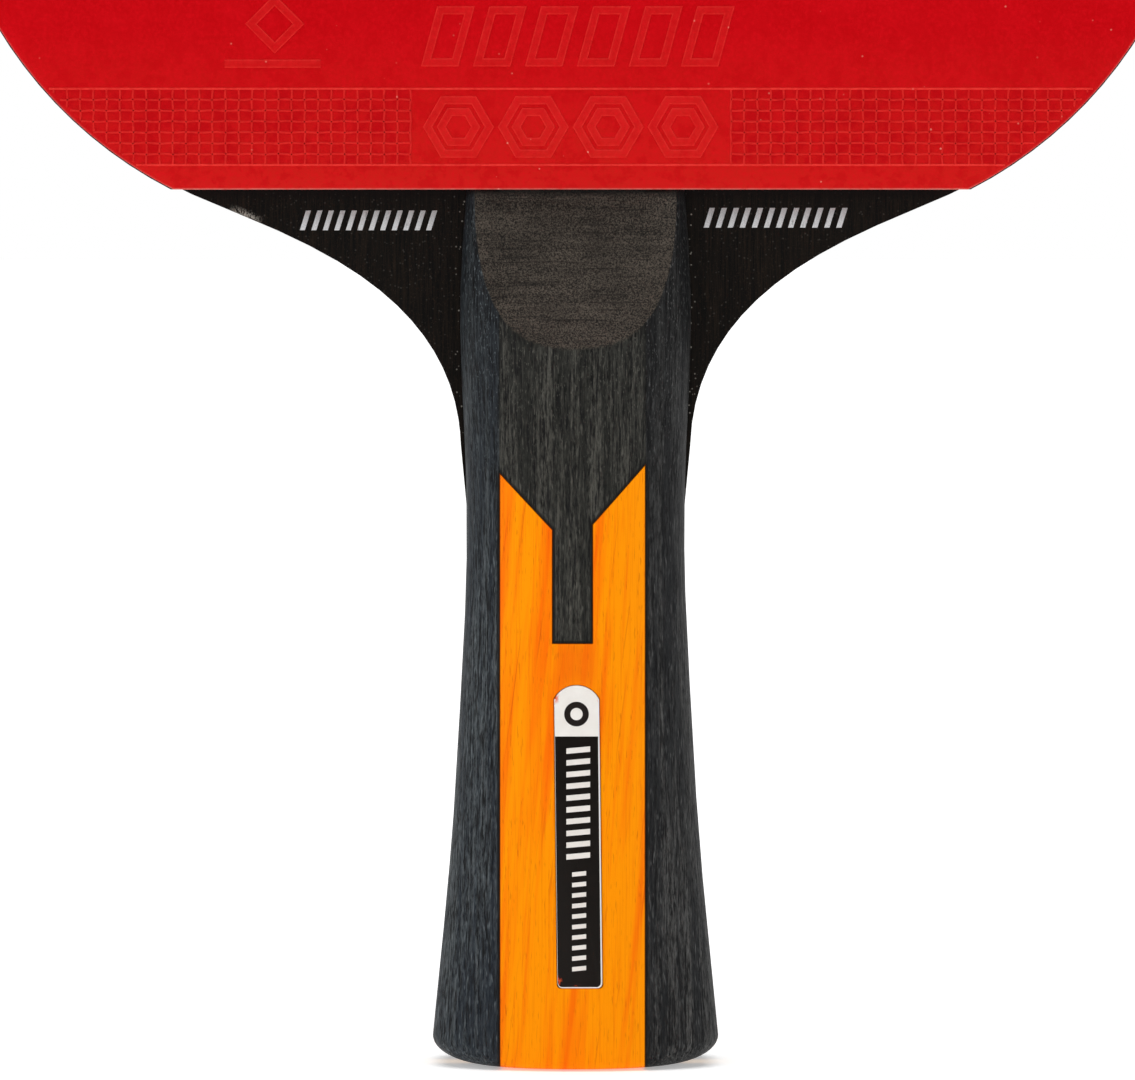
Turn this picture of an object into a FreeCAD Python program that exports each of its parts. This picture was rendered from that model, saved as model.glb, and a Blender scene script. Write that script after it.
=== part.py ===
"""Shakehand table tennis paddle, flared handle, built up from plies, sheets, strips and a badge.

Frame, in millimetres: X is the width, +Z runs along the handle towards the head, and the front (red)
hitting face looks along -Y. The origin is where the head's centreline meets the handle's flat butt.
Every sub-part is one closed solid and is written to parts/NODE.step.
"""
import FreeCAD, Part
import math
import os

V = FreeCAD.Vector

# ---- driving dimensions ----------------------------------------------------------------------
HEAD_WIDTH = 150.0
TOP_Z = 257.0  # overall length, butt to crown
RUBBER_Z = 100.0  # the rubber's straight lower edge, which is also the handle's upper end
WIDEST_Z = 168.0
CORNER_R = 48.6  # lower corners of the head
CORNER_X, CORNER_Z = 23.25, 143.4
OVERHANG = 0.27  # the covering stands this far proud of the blade's own edge

# the wing, one Bezier from the head's corner arc down to the handle's side
WING_ANGLE = math.radians(24.3)  # where it leaves the corner arc, from straight down
WING_HEAD_PULL = 10.3
WING_NECK_PULL = 18.6
NECK_Z = 70.8
NECK_LEAN = math.radians(1.8)
NECK_PROUD = 0.45  # the neck stands this far outside the grip where the wing's curve ends
TONGUE_JOIN_Z = 64.0

# plies, from the middle outwards
CORE_T = 3.0
MEDIAL_T = 0.7
CARBON_T = 0.2
FACE_T = 0.7

# covering, from the blade outwards
GLUE_T = 0.1
SPONGE_T = 2.0
TOPSHEET_T = 1.8  # smooth skin and the short pimples behind it, as one sheet

TAPE_T = 0.15
TAPE_W = 12.6

# handle: half-width of the silhouette against height, waist in the middle and flare at the butt
SIDE_POINTS = ((3.2, 16.34), (14.0, 15.25), (28.0, 14.0), (42.0, 13.15), (58.0, 12.45), (72.0, 12.7),
               (87.0, 13.15), (100.0, 12.4))
GRIP_X = 0.55  # the grip is glued on this far off the head's centreline
BUTT_RX, BUTT_RZ = 6.3, 3.2  # the butt's corners, quarter ellipses seen from the front
BUTT_EDGE_R = 0.8  # the butt's edge along the front and back
DOME_H = 8.4  # of each grip half, above the blade's face
DOME_POWER = 2.2  # 2 is an ellipse
DOME_STEPS = 16
LOFT_SECTIONS = 13
BUTT_SECTIONS = 9

# thumb scoop, cut by a barrel whose axis lies across the handle
SCOOP_R = 38.0
SCOOP_FALL, SCOOP_FALL_X = 0.32, 7.5  # the barrel is thinner by this much this far from its middle
SCOOP_Z = 103.6
SCOOP_H = 39.7  # axis above the blade's face
SCOOP_HALF_LENGTH = 15.0

# inlay of the grip's middle
PANEL_X, PANEL_HALF_W = 0.2, 8.3
NOTCH_TIP_Z, NOTCH_TIP_SKEW = 68.45, 0.5  # the V's right-hand side sits a little higher than its left
NOTCH_END_Z, NOTCH_END_SKEW = 61.85, 0.3
STEM_HALF_W = 2.25
STEM_Z = 48.65

# badge set into the front of the grip
BADGE_X = 0.85
BADGE_W = 5.1
BADGE_TOP_Z, BADGE_LOW_Z = 43.85, 9.35
BADGE_CROWN = 1.6  # rise of the arc at its top end
BADGE_DEPTH = 1.1
BADGE_CORNER_R = 0.6
BADGE_BORDER = 0.15
BADGE_PANEL_T = 0.25
BADGE_PANEL_TOP_Z = 38.05

BLADE_HALF_T = CORE_T / 2 + MEDIAL_T + CARBON_T + FACE_T
FRONT, BACK = -1, 1
ELLIPSE_PULL = 0.5523  # of a Bezier's middle poles, for a quarter ellipse


def point(x, z):
    return V(x, 0, z)


# ---- outlines in the XZ plane ------------------------------------------------------------------
def head_arcs():
    """Centres and radii of the side and crown arcs that run tangent to the lower corner arc."""
    half = HEAD_WIDTH / 2
    rise = WIDEST_Z - CORNER_Z
    corner_reach = half - CORNER_X
    side_r = (corner_reach ** 2 + rise ** 2 - CORNER_R ** 2) / (2 * (corner_reach - CORNER_R))
    side_x = half - side_r
    top = TOP_Z - WIDEST_Z
    crown_r = (side_x ** 2 + top ** 2 - side_r ** 2) / (2 * (top - side_r))
    return (side_x, WIDEST_Z, side_r), (0.0, TOP_Z - crown_r, crown_r)


def on_circle(centre_x, centre_z, radius, towards_x, towards_z):
    reach = math.hypot(towards_x, towards_z)
    return point(centre_x + radius * towards_x / reach, centre_z + radius * towards_z / reach)


def arc(centre_x, centre_z, radius, start, end):
    """The arc from start to end, on their side of the centre."""
    middle = (start + end) * 0.5
    via = on_circle(centre_x, centre_z, radius, middle.x - centre_x, middle.z - centre_z)
    return Part.Arc(start, via, end).toShape()


def head_edges(corner_start, inset):
    """Right half of the head, inset from the covering, from a point on the lower corner arc to the crown."""
    (side_x, side_z, side_r), (crown_x, crown_z, crown_r) = head_arcs()
    side_r, crown_r = side_r - inset, crown_r - inset
    corner_end = on_circle(side_x, side_z, side_r, CORNER_X - side_x, CORNER_Z - side_z)
    side_end = on_circle(side_x, side_z, side_r, crown_x - side_x, crown_z - side_z)
    return [
        arc(CORNER_X, CORNER_Z, CORNER_R - inset, corner_start, corner_end),
        arc(side_x, side_z, side_r, corner_end, side_end),
        arc(crown_x, crown_z, crown_r, side_end, point(0, TOP_Z - inset)),
    ]


def mirrored(edges):
    return [edge.mirror(V(0, 0, 0), V(1, 0, 0)) for edge in edges]


def closed_face(right_edges, left_edges_mirrored):
    """A face from its right half and its left half, the left given as if it were on the right."""
    wire = Part.Wire(Part.__sortEdges__(right_edges + mirrored(left_edges_mirrored)))
    return Part.Face(wire)


def side_curve():
    curve = Part.BSplineCurve()
    curve.interpolate([point(x, z) for z, x in SIDE_POINTS])
    return curve


def side_at(z):
    """Half-width of the handle at a height."""
    curve = side_curve()
    low, high = curve.FirstParameter, curve.LastParameter
    for _ in range(50):
        middle = (low + high) / 2
        if curve.value(middle).z < z:
            low = middle
        else:
            high = middle
    return curve.value((low + high) / 2).x


def blade_half(shift):
    """Right half of the blade: head, wing, neck and tongue. The handle's side stands shift further out."""
    corner_r = CORNER_R - OVERHANG
    leave = point(CORNER_X + corner_r * math.sin(WING_ANGLE), CORNER_Z - corner_r * math.cos(WING_ANGLE))
    heading = point(-math.cos(WING_ANGLE), -math.sin(WING_ANGLE))
    arrive = point(side_at(NECK_Z) + NECK_PROUD + shift, NECK_Z)
    wing = Part.BezierCurve()
    wing.setPoles([
        leave,
        leave + heading * WING_HEAD_PULL,
        arrive + point(math.sin(NECK_LEAN), math.cos(NECK_LEAN)) * WING_NECK_PULL,
        arrive,
    ])
    join = point(side_at(TONGUE_JOIN_Z), TONGUE_JOIN_Z)
    side = side_curve()
    tongue = side.toShape(side.FirstParameter, side.parameter(join))
    tongue.translate(point(shift, 0))
    corner_x = side_at(BUTT_RZ) + shift
    corner = Part.BezierCurve()
    corner.setPoles([
        point(corner_x, BUTT_RZ),
        point(corner_x, BUTT_RZ * (1 - ELLIPSE_PULL)),
        point(corner_x - BUTT_RX * (1 - ELLIPSE_PULL), 0),
        point(corner_x - BUTT_RX, 0),
    ])
    blend = Part.LineSegment(arrive, join + point(shift, 0)).toShape()
    butt = Part.LineSegment(point(0, 0), point(corner_x - BUTT_RX, 0)).toShape()
    return head_edges(leave, OVERHANG) + [wing.toShape(), blend, tongue, corner.toShape(), butt]


def blade_face():
    """The blade's plan: head, wings, neck and the tongue that runs through the handle."""
    return closed_face(blade_half(GRIP_X), blade_half(-GRIP_X))


def rubber_face():
    """The covering's plan: the head cut off straight at the top of the handle."""
    corner_x = CORNER_X + math.sqrt(CORNER_R ** 2 - (CORNER_Z - RUBBER_Z) ** 2)
    start = point(corner_x, RUBBER_Z)
    lower = Part.LineSegment(point(0, RUBBER_Z), start).toShape()
    half = head_edges(start, 0.0) + [lower]
    return closed_face(half, half)


def slab(face, near, far, side):
    """face as a plate from near to far, measured from the blade's middle plane."""
    plate = face.extrude(V(0, side * (far - near), 0))
    plate.translate(V(0, side * near, 0))
    return plate


# ---- blade -------------------------------------------------------------------------------------
def make_blade(parts):
    plan = blade_face()
    core = slab(plan, -CORE_T / 2, CORE_T / 2, BACK)
    parts["core_ply"] = core
    for side, word in ((FRONT, "front"), (BACK, "back")):
        level = CORE_T / 2
        for name, thickness in (("medial_ply", MEDIAL_T), ("carbon_layer", CARBON_T), ("face_ply", FACE_T)):
            parts[f"{name}_{word}"] = slab(plan, level, level + thickness, side)
            level += thickness


# ---- covering ----------------------------------------------------------------------------------
def make_covering(parts):
    plan = rubber_face()
    for side, word in ((FRONT, "front"), (BACK, "back")):
        glue_out = BLADE_HALF_T + GLUE_T
        parts[f"glue_film_{word}"] = slab(plan, BLADE_HALF_T, glue_out, side)
        parts[f"sponge_{word}"] = slab(plan, glue_out, glue_out + SPONGE_T, side)
        sponge_out = glue_out + SPONGE_T
        parts[f"topsheet_{word}"] = slab(plan, sponge_out, sponge_out + TOPSHEET_T, side)


def make_edge_tape(parts):
    """A thin band round the rim of the head, from one lower corner of the covering to the other."""
    plan = rubber_face()
    band = plan.makeOffset2D(TAPE_T).cut(plan)
    band = band.extrude(V(0, TAPE_W, 0))
    band.translate(V(0, -TAPE_W / 2, 0))
    below = Part.makeBox(4 * HEAD_WIDTH, TAPE_W * 2, TOP_Z, V(-2 * HEAD_WIDTH, -TAPE_W, RUBBER_Z - TOP_Z))
    parts["edge_tape"] = band.cut(below).Solids[0]


# ---- handle ------------------------------------------------------------------------------------
def rounding(z, across, along):
    """How far a quarter-ellipse edge at the butt draws a face in, at a height within it."""
    rest = max(along - z, 0.0) / along
    return across * (1 - math.sqrt(1 - rest * rest))


def dome_section(z, side):
    """A closed D-shaped wire across the handle: flat on the blade's face, domed outside."""
    half = side_at(max(z, BUTT_RZ)) - rounding(z, BUTT_RX, BUTT_RZ)
    height = DOME_H - rounding(z, BUTT_EDGE_R, BUTT_EDGE_R)
    rim = []
    for step in range(DOME_STEPS + 1):
        angle = math.pi * step / DOME_STEPS
        c, s = math.cos(angle), math.sin(angle)
        x = half * math.copysign(abs(c) ** (2 / DOME_POWER), c)
        y = height * abs(s) ** (2 / DOME_POWER)
        rim.append(V(GRIP_X + x, side * (BLADE_HALF_T + y), z))
    dome = Part.BSplineCurve()
    dome.interpolate(rim)
    base = Part.LineSegment(rim[-1], rim[0])
    return Part.Wire([dome.toShape(), base.toShape()])


def grip_half(side):
    """One whole half of the grip before it is parted into strips."""
    body_steps = [BUTT_RZ + (RUBBER_Z - BUTT_RZ) * i / (LOFT_SECTIONS - 1) for i in range(LOFT_SECTIONS)]
    body = Part.makeLoft([dome_section(z, side) for z in body_steps], True, False)
    turns = [math.pi / 2 * i / (BUTT_SECTIONS - 1) for i in range(BUTT_SECTIONS)]
    butt = Part.makeLoft([dome_section(BUTT_RZ * (1 - math.cos(turn)), side) for turn in turns], True, False)
    return body.fuse(butt).cut(scoop_barrel(side))


def scoop_barrel(side):
    """The barrel, fullest over the middle of the grip and falling away to its sides."""
    axis_y = side * (BLADE_HALF_T + SCOOP_H)

    def at(x, radius):
        return V(GRIP_X + x, axis_y - side * radius, SCOOP_Z)

    def radius_at(x):
        return SCOOP_R - SCOOP_FALL * (x / SCOOP_FALL_X) ** 4

    steps = 8
    xs = [SCOOP_HALF_LENGTH * k / steps for k in range(-steps, steps + 1)]
    crown = Part.BSplineCurve()
    crown.interpolate([at(x, radius_at(x)) for x in xs])
    end_r = radius_at(SCOOP_HALF_LENGTH)
    rest = Part.makePolygon([
        at(SCOOP_HALF_LENGTH, end_r), at(SCOOP_HALF_LENGTH, 0), at(-SCOOP_HALF_LENGTH, 0),
        at(-SCOOP_HALF_LENGTH, end_r),
    ])
    profile = Part.Face(Part.Wire([crown.toShape()] + rest.Edges))
    return profile.revolve(V(0, axis_y, SCOOP_Z), V(1, 0, 0), 360)


def prism(corners):
    """A plan polygon as a tall block through both grip halves."""
    depth = 2 * (BLADE_HALF_T + DOME_H)
    outline = [V(x, -depth, z) for x, z in corners]
    return Part.Face(Part.makePolygon(outline + outline[:1])).extrude(V(0, 2 * depth, 0))


def band_between(x_low, x_high):
    """Everything in the handle between two planes that run along it."""
    low, high = -1, RUBBER_Z + 1
    return prism([(x_low, low), (x_high, low), (x_high, high), (x_low, high)])


def orange_plan():
    """The lower inlay: a plate with a V notch at its top and a slot that takes the dark stem."""
    left, right = PANEL_X - PANEL_HALF_W, PANEL_X + PANEL_HALF_W
    stem_left, stem_right = PANEL_X - STEM_HALF_W, PANEL_X + STEM_HALF_W
    return prism([
        (right, -1),
        (right, NOTCH_TIP_Z + NOTCH_TIP_SKEW),
        (stem_right, NOTCH_END_Z + NOTCH_END_SKEW),
        (stem_right, STEM_Z),
        (stem_left, STEM_Z),
        (stem_left, NOTCH_END_Z - NOTCH_END_SKEW),
        (left, NOTCH_TIP_Z - NOTCH_TIP_SKEW),
        (left, -1),
    ])


def badge_plan(inset, top_z):
    """The badge's outline: crowned at the top end, small corners below. A lower top_z cuts it square."""
    half = BADGE_W / 2 - inset
    low, high = BADGE_LOW_Z + inset, BADGE_TOP_Z - inset
    shoulder = high - BADGE_CROWN
    r = BADGE_CORNER_R - inset
    turn = r * (1 - math.sqrt(0.5))

    def at(x, z):
        return point(BADGE_X + x, z)

    edges = [
        Part.LineSegment(at(-half + r, low), at(half - r, low)).toShape(),
        Part.Arc(at(half - r, low), at(half - turn, low + turn), at(half, low + r)).toShape(),
        Part.LineSegment(at(half, low + r), at(half, shoulder)).toShape(),
        Part.Arc(at(half, shoulder), at(0, high), at(-half, shoulder)).toShape(),
        Part.LineSegment(at(-half, shoulder), at(-half, low + r)).toShape(),
        Part.Arc(at(-half, low + r), at(-half + turn, low + turn), at(-half + r, low)).toShape(),
    ]
    plan = Part.Face(Part.Wire(edges))
    if top_z < high:
        above = [at(-BADGE_W, top_z), at(BADGE_W, top_z), at(BADGE_W, TOP_Z), at(-BADGE_W, TOP_Z)]
        plan = plan.cut(Part.Face(Part.makePolygon(above + above[:1])))
    return plan


def make_badge(parts):
    """A moulded plate in a routed pocket of the front inlay, with a printed panel let into its face."""
    top = BLADE_HALF_T + DOME_H
    plate = slab(badge_plan(0.0, TOP_Z), top - BADGE_DEPTH, top, FRONT)
    panel = slab(badge_plan(BADGE_BORDER, BADGE_PANEL_TOP_Z), top - BADGE_PANEL_T, top, FRONT)
    pocket = slab(badge_plan(0.0, TOP_Z), top - BADGE_DEPTH, top + 1, FRONT)
    parts["grip_orange_panel_front"] = parts["grip_orange_panel_front"].cut(pocket)
    parts["badge_plate"] = plate.cut(panel)
    parts["badge_panel"] = panel


def make_handle(parts):
    middle = band_between(PANEL_X - PANEL_HALF_W, PANEL_X + PANEL_HALF_W)
    left = band_between(-HEAD_WIDTH, PANEL_X - PANEL_HALF_W)
    right = band_between(PANEL_X + PANEL_HALF_W, HEAD_WIDTH)
    orange = orange_plan()
    for side, word in ((FRONT, "front"), (BACK, "back")):
        whole = grip_half(side)
        parts[f"grip_left_strip_{word}"] = whole.common(left)
        parts[f"grip_right_strip_{word}"] = whole.common(right)
        parts[f"grip_orange_panel_{word}"] = whole.common(orange)
        parts[f"grip_dark_inlay_{word}"] = whole.common(middle).cut(orange)


def main():
    parts = {}
    make_blade(parts)
    make_covering(parts)
    make_edge_tape(parts)
    make_handle(parts)
    make_badge(parts)
    os.makedirs("parts", exist_ok=True)
    for name, shape in sorted(parts.items()):
        solids = shape.Solids
        print(name, "solids", len(solids), "valid", shape.isValid(), "volume", round(shape.Volume, 1),
              "closed", all(s.isClosed() for s in solids))
        (solids[0] if len(solids) == 1 else Part.Compound(solids)).exportStep(f"parts/{name}.step")


main()
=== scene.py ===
"""Looks for the table tennis paddle.

Metres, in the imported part's frame: X is the width, +Z points to the head and the front faces -Y.
"""

import math

import bmesh
import bpy
import numpy as np
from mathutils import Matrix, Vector


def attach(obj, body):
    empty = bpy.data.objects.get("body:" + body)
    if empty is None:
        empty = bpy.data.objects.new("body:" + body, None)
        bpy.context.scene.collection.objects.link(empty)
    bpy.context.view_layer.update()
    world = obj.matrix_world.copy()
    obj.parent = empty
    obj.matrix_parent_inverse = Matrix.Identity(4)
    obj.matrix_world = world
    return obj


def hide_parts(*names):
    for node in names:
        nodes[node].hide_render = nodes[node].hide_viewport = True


MM = 0.001
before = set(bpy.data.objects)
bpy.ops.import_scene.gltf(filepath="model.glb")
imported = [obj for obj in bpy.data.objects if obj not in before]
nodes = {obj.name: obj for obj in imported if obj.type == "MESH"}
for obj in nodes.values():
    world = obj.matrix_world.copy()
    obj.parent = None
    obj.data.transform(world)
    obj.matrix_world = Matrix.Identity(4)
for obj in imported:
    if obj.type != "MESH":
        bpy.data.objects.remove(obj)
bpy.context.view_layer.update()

# ---- sizes, in mm, as in the part ---------------------------------------------------------------
BLADE_HALF_T = 3.1
RUBBER_Z = 100.0
TOP_Z = 257.0
HEAD_HALF_W = 75.0
WIDEST_Z = 168.0
CORNER_R, CORNER_X, CORNER_Z = 48.6, 23.25, 143.4
SHEET_BACK, SKIN_BACK, SHEET_TOP = 5.2, 6.1, 7.0
BAND_LOW_Z, BAND_HIGH_Z = 102.8, 111.45  # the rubber's moulded band and where its grids begin
GRID_FROM_X = 18.2

SIDE_POINTS = ((3.2, 16.34), (14.0, 15.25), (28.0, 14.0), (42.0, 13.15), (58.0, 12.45), (72.0, 12.7),
               (87.0, 13.15), (100.0, 12.4))
GRIP_X = 0.55
BUTT_RX, BUTT_RZ, BUTT_EDGE_R = 6.3, 3.2, 0.8
DOME_H = 8.4
DOME_POWER = 2.2
SCOOP_R, SCOOP_FALL, SCOOP_FALL_X, SCOOP_Z, SCOOP_H = 38.0, 0.32, 7.5, 103.6, 39.7

PANEL_X, PANEL_HALF_W = 0.2, 8.3
STEM_HALF_W = 2.25
STEM_Z = 48.65
NOTCH_TIP_Z, NOTCH_TIP_SKEW = 68.45, 0.5
NOTCH_END_Z, NOTCH_END_SKEW = 61.85, 0.3

SCUFF_X, SCUFF_Z, SCUFF_ANGLE = -37.2, 96.6, math.radians(24)  # a rubbed place on the edge of one wing

BADGE_X, BADGE_HALF_W = 0.85, 2.55
BADGE_LOW_Z, BADGE_TOP_Z = 9.35, 43.85
BADGE_CROWN = 1.6
PRINT_TOP_Z = 38.05


# ---- small helpers -------------------------------------------------------------------------------
def srgb(r, g, b):
    """An 8-bit display colour as the linear one that nodes take."""
    def linear(c):
        c = c / 255
        return c / 12.92 if c <= 0.04045 else ((c + 0.055) / 1.055) ** 2.4
    return (linear(r), linear(g), linear(b), 1.0)


def make_object(name, bm, materials):
    mesh = bpy.data.meshes.new(name)
    bmesh.ops.recalc_face_normals(bm, faces=bm.faces)
    bm.to_mesh(mesh)
    bm.free()
    piece = bpy.data.objects.new(name, mesh)
    bpy.context.scene.collection.objects.link(piece)
    for material in materials:
        mesh.materials.append(material)
    for polygon in mesh.polygons:
        polygon.use_smooth = True
    mesh.set_sharp_from_angle(angle=math.radians(35))
    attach(piece, "root")
    return piece


class Graph:
    """A material's node tree, built one call a node; inputs are given by name as values or as sockets."""

    def __init__(self, name):
        self.material = bpy.data.materials.new(name)
        self.material.use_nodes = True
        self.tree = self.material.node_tree
        self.shader = self.tree.nodes["Principled BSDF"]
        self.coords = self.add("ShaderNodeTexCoord").outputs["Object"]

    def put(self, socket, value):
        if isinstance(value, bpy.types.NodeSocket):
            self.tree.links.new(value, socket)
        else:
            socket.default_value = value

    def add(self, kind, inputs=None, **properties):
        node = self.tree.nodes.new(kind)
        for key, value in properties.items():
            setattr(node, key, value)
        for key, value in (inputs or {}).items():
            self.put(node.inputs[key], value)
        return node

    def scaled(self, vector, sizes, shift):
        return self.add("ShaderNodeMapping", {
            "Vector": vector, "Scale": tuple(1 / (size * MM) for size in sizes),
            "Location": shift}).outputs["Vector"]

    def stretched(self, x, y=None, z=None, shift=(0, 0, 0)):
        """Object coordinates measured in cells of x by y by z millimetres, or of x each way."""
        return self.scaled(self.coords, (x, y or x, z or x), shift)

    def slanted(self, x, y, z, shift, slope):
        """Like stretched, for a pattern that drifts sideways by slope as it climbs."""
        split = self.add("ShaderNodeSeparateXYZ", {"Vector": self.coords}).outputs
        drift = self.plus(split["X"], self.times(split["Z"], slope))
        sheared = self.add("ShaderNodeCombineXYZ", {"X": drift, "Y": split["Y"], "Z": split["Z"]})
        return self.scaled(sheared.outputs["Vector"], (x, y, z), shift)

    def noise(self, vector, detail=2.0, roughness=0.5, distortion=0.0):
        return self.add("ShaderNodeTexNoise", {
            "Vector": vector, "Scale": 1.0, "Detail": detail, "Roughness": roughness,
            "Distortion": distortion}).outputs["Fac"]

    def cells(self, vector):
        return self.add("ShaderNodeTexVoronoi", {"Vector": vector, "Scale": 1.0}).outputs["Distance"]

    def span(self, value, low, high, to_low=0.0, to_high=1.0):
        """value from low..high to to_low..to_high, held at the ends."""
        node = self.add("ShaderNodeMapRange", {
            "Value": value, "From Min": low, "From Max": high, "To Min": to_low, "To Max": to_high})
        return node.outputs["Result"]

    def math(self, operation, a, b=0.0):
        node = self.add("ShaderNodeMath", operation=operation)
        self.put(node.inputs[0], a)
        self.put(node.inputs[1], b)
        return node.outputs[0]

    def times(self, a, b):
        return self.math("MULTIPLY", a, b)

    def plus(self, a, b):
        return self.math("ADD", a, b)

    def minus(self, a, b):
        return self.math("SUBTRACT", a, b)

    def absolute(self, a):
        return self.math("ABSOLUTE", a)

    def mix(self, amount, a, b, blend="MIX"):
        node = self.add("ShaderNodeMix", data_type="RGBA", blend_type=blend)
        self.put(node.inputs[0], amount)
        self.put(node.inputs[6], a)
        self.put(node.inputs[7], b)
        return node.outputs[2]

    def dot(self, vector, direction):
        node = self.add("ShaderNodeVectorMath", operation="DOT_PRODUCT")
        self.put(node.inputs[0], vector)
        self.put(node.inputs[1], direction)
        return node.outputs["Value"]

    def axis(self, name):
        return self.add("ShaderNodeSeparateXYZ", {"Vector": self.coords}).outputs[name]

    def attribute(self, name):
        return self.add("ShaderNodeAttribute", attribute_name=name).outputs["Fac"]

    def bump(self, height, distance_mm, strength):
        return self.add("ShaderNodeBump", {
            "Height": height, "Distance": distance_mm * MM, "Strength": strength}).outputs["Normal"]

    def finish(self, **inputs):
        for key, value in inputs.items():
            self.put(self.shader.inputs[key.replace("_", " ")], value)
        return self.material


# ---- materials -----------------------------------------------------------------------------------
def rubber_material(name, colour, worn, lower, pad, ridge, rim, speck):
    """Smooth moulded rubber: mottled, dusty, paler by the handle as painted sheen, rubbed on its ridges, and
    paler on its cut edge, partly as a painted highlight.
    """
    g = Graph(name)
    z = g.axis("Z")
    mottle = g.noise(g.stretched(5), 4, 0.65)
    grain = g.noise(g.stretched(0.5), 3, 0.75)
    patches = g.noise(g.stretched(1.6, shift=(8, 3, 1)), 3, 0.7)
    # painted sheen: the rubber is paler and less saturated towards the handle
    low = g.span(z, 0.1015, 0.1185, 1.0, 0.0)
    base = g.mix(low, colour, lower)
    base = g.mix(g.span(mottle, 0.38, 0.7, 0.0, 0.3), base, worn)
    base = g.mix(g.span(grain, 0.42, 0.72, 0.0, 0.7), base, worn)
    base = g.mix(g.span(patches, 0.50, 0.60, 0.0, 0.45), base, colour)
    beside = g.span(g.absolute(g.axis("X")), (GRID_FROM_X - 0.2) * MM, GRID_FROM_X * MM)
    above = g.span(z, BAND_LOW_Z * MM, (BAND_LOW_Z + 0.2) * MM)
    below = g.span(z, (BAND_HIGH_Z - 0.2) * MM, BAND_HIGH_Z * MM, 1.0, 0.0)
    pads = g.times(g.times(above, below), beside)
    pads = g.times(pads, g.span(patches, 0.40, 0.62, 0.2, 0.65))
    base = g.mix(pads, base, pad)
    broken = g.span(g.noise(g.stretched(0.8, shift=(1, 4, 2)), 3, 0.7), 0.3, 0.6, 0.4, 1.0)
    base = g.mix(g.times(g.attribute("ridge"), broken), base, ridge)
    # the rim's paler colour: partly the cut rubber's own colour, partly a painted highlight
    base = g.mix(g.times(g.attribute("rim"), broken), base, rim)
    dust_cells = g.cells(g.stretched(2.2))
    dust_where = g.noise(g.stretched(7, shift=(3, 1, 5)), 2)
    dust = g.times(g.span(dust_cells, 0.03, 0.07, 1.0, 0.0), g.span(dust_where, 0.44, 0.50))
    dust = g.times(dust, g.span(z, 0.1025, 0.108, 1.0, 0.4))
    base = g.mix(g.times(dust, 0.8), base, speck)
    rough = g.plus(g.span(mottle, 0.3, 0.7, 0.42, 0.52), g.times(dust, 0.3))
    height = g.plus(g.times(grain, 0.4), g.times(patches, 0.5))
    return g.finish(Base_Color=base, Roughness=rough, Specular_IOR_Level=0.045,
                    Normal=g.bump(height, 0.05, 0.7))


def strip_material(name, dark, light, band, fleck, shade):
    """Open-pored wood, stained. The scooped part is sanded and browner. The upper end is darkened by painted
    shade, as much as shade asks, and a painted shadow lies just under the rubber's edge.
    """
    g = Graph(name)
    z = g.axis("Z")
    bands = g.noise(g.stretched(1.5, 1.5, 55), 3, 0.6, 0.4)
    fibres = g.noise(g.stretched(0.32, 0.32, 8), 3, 0.7)
    fine = g.noise(g.stretched(0.24, 0.24, 1.0), 3, 0.75)
    pores = g.span(g.noise(g.stretched(0.26, 0.26, 3.0, (9, 4, 2)), 2, 0.5), 0.54, 0.66)
    flecks = g.span(g.noise(g.stretched(0.22, 0.22, 1.4, (5, 8, 1)), 1), 0.60, 0.76)
    tone = g.plus(g.times(fibres, 0.5), g.times(fine, 0.5))
    base = g.mix(g.span(tone, 0.40, 0.60), dark, light)
    base = g.mix(g.span(bands, 0.40, 0.60, 0.0, 0.75), base, band)
    base = g.mix(g.times(flecks, 0.35), base, fleck)
    base = g.mix(g.times(pores, 0.85), base, (0.003, 0.003, 0.0035, 1))
    # painted shade: the upper end of the grip darker
    base = g.mix(g.span(z, 0.052, 0.090, 0.0, shade), base, (0.12, 0.13, 0.14, 1), "MULTIPLY")
    specks = g.span(g.noise(g.stretched(0.18, 0.18, 0.42, (4, 4, 9)), 1), 0.62, 0.76)
    base = g.mix(g.times(specks, g.span(z, 0.060, 0.092, 0.0, 0.5)), base, fleck)
    scoop = g.attribute("scoop")
    across = g.noise(g.stretched(12, 12, 0.9), 3, 0.6)
    speckle = g.noise(g.stretched(0.19), 3, 0.8)
    scores = g.noise(g.stretched(8, 8, 0.32, (1, 2, 3)), 2, 0.6)
    blotch = g.noise(g.stretched(4, 4, 3, (2, 2, 2)), 3)
    marks = g.plus(g.times(speckle, 0.86), g.times(across, 0.14))
    sanded = g.mix(g.span(marks, 0.42, 0.60), SANDED_DARK, SANDED_LIGHT)
    sanded = g.mix(g.span(blotch, 0.35, 0.7, 0.0, 0.4), sanded, SANDED_DARK)
    sanded = g.mix(g.span(scores, 0.56, 0.66, 0.0, 0.5), sanded, SANDED_DARK)
    base = g.mix(scoop, base, sanded)
    # painted shadow just under the rubber's edge
    painted_shadow_under_rubber = g.span(z, (RUBBER_Z - 1.0) * MM, (RUBBER_Z - 0.25) * MM, 0.0, 0.85)
    base = g.mix(painted_shadow_under_rubber, base, (0.003, 0.003, 0.003, 1))
    seam = g.attribute("seam")
    base = g.mix(g.times(seam, 0.85), base, (0.004, 0.0035, 0.003, 1))
    rough = g.span(tone, 0.3, 0.7, 0.62, 0.48)
    height = g.minus(g.times(tone, 0.6), pores)
    sand_height = g.times(marks, 0.8)
    flat = g.add("ShaderNodeMix", data_type="FLOAT")
    g.put(flat.inputs[0], scoop)
    g.put(flat.inputs[2], height)
    g.put(flat.inputs[3], sand_height)
    return g.finish(Base_Color=base, Roughness=rough, Specular_IOR_Level=0.13,
                    Normal=g.bump(flat.outputs[0], 0.12, 0.8))


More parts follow.
